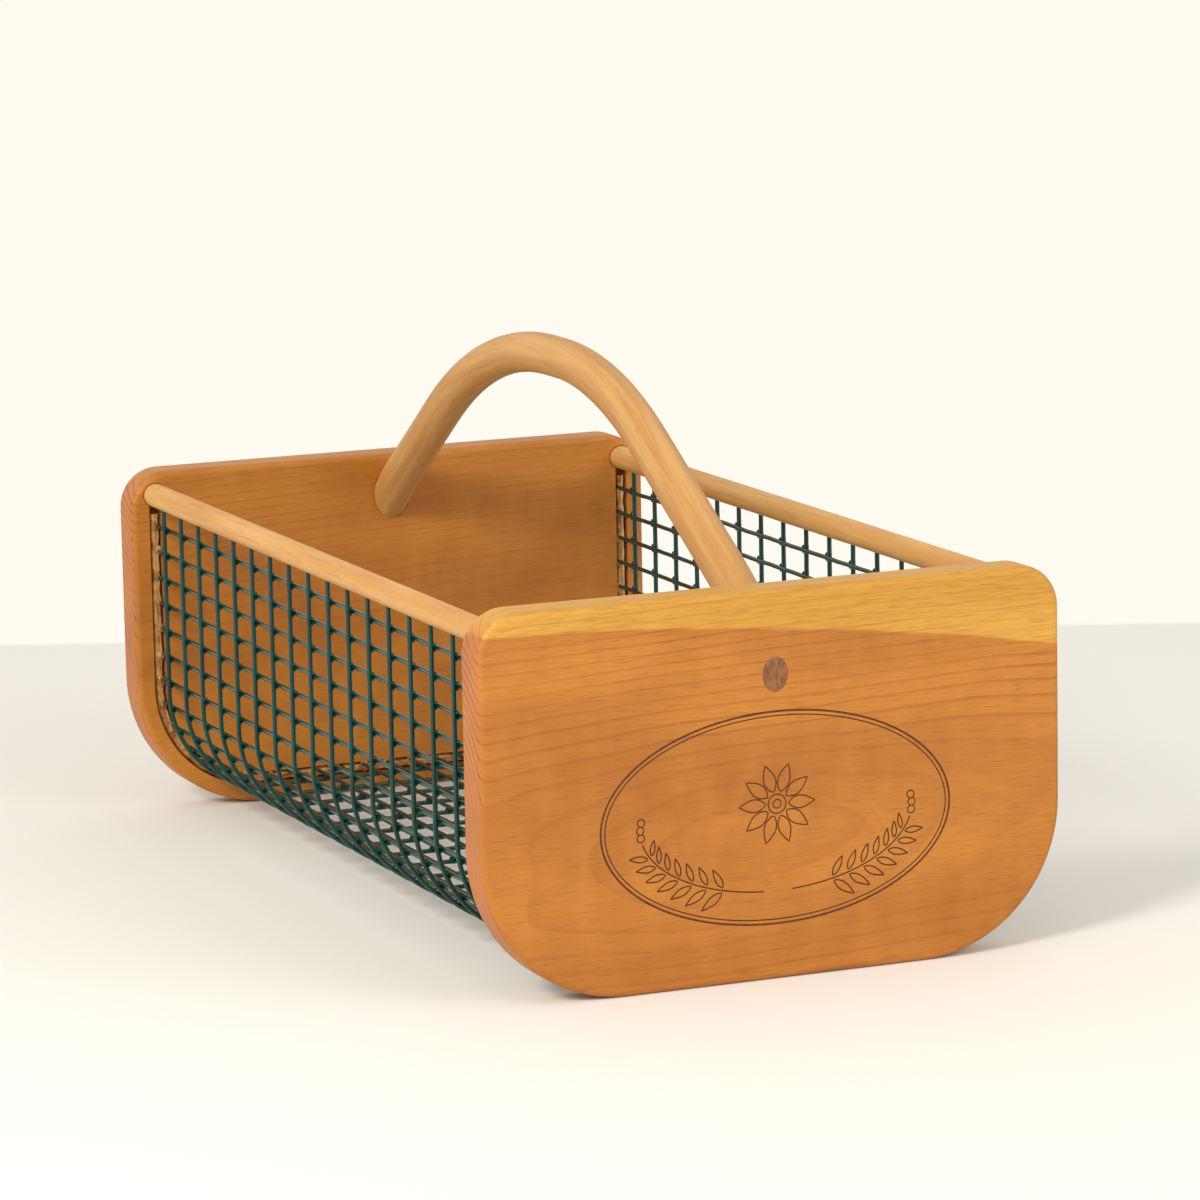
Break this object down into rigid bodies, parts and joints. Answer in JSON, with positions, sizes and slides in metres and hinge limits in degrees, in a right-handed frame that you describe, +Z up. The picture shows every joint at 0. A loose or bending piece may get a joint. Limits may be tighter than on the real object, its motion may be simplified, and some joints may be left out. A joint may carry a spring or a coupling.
{
  "type": "garden harvest basket",
  "caption": "Open harvest basket: two wood end boards joined by round side rails, a U-shaped panel of coated welded wire and a bent round handle arching lengthwise.",
  "frame": {"origin": "on the ground, at the bottom centre of the bounding box", "axes": "+X across the end boards to the right, +Y along the basket from the front board to the back board, +Z up"},
  "size_m": [0.273, 0.472, 0.2523],
  "materials": {
    "end_board_wood": "oiled flat-sawn board, satin, with pale sapwood along its top",
    "round_wood": "sanded and oiled, satin",
    "coated_wire": "dark green plastic coat over steel wire, glossy",
    "adhesive": "translucent amber adhesive, glossy"
  },
  "bodies": {
    "root": {"front_end_board": "end_board_wood", "back_end_board": "end_board_wood", "left_side_rail": "round_wood", "right_side_rail": "round_wood", "handle": "round_wood", "front_adhesive_bead": "adhesive", "back_adhesive_bead": "adhesive", "hoop_wire_01": "coated_wire", "hoop_wire_02": "coated_wire", "hoop_wire_03": "coated_wire", "hoop_wire_04": "coated_wire", "hoop_wire_05": "coated_wire", "hoop_wire_06": "coated_wire", "hoop_wire_07": "coated_wire", "hoop_wire_08": "coated_wire", "hoop_wire_09": "coated_wire", "hoop_wire_10": "coated_wire", "hoop_wire_11": "coated_wire", "hoop_wire_12": "coated_wire", "hoop_wire_13": "coated_wire", "hoop_wire_14": "coated_wire", "hoop_wire_15": "coated_wire", "hoop_wire_16": "coated_wire", "hoop_wire_17": "coated_wire", "long_wire_pair_01": "coated_wire", "long_wire_pair_02": "coated_wire", "long_wire_pair_03": "coated_wire", "long_wire_pair_04": "coated_wire", "long_wire_pair_05": "coated_wire", "long_wire_pair_06": "coated_wire", "long_wire_pair_07": "coated_wire", "long_wire_pair_08": "coated_wire", "long_wire_pair_09": "coated_wire", "long_wire_pair_10": "coated_wire", "long_wire_pair_11": "coated_wire", "long_wire_pair_12": "coated_wire", "long_wire_pair_13": "coated_wire", "long_wire_pair_14": "coated_wire", "long_wire_pair_15": "coated_wire", "long_wire_pair_16": "coated_wire", "long_wire_pair_17": "coated_wire", "long_wire_pair_18": "coated_wire", "long_wire_pair_19": "coated_wire"}
  },
  "joints": []
}
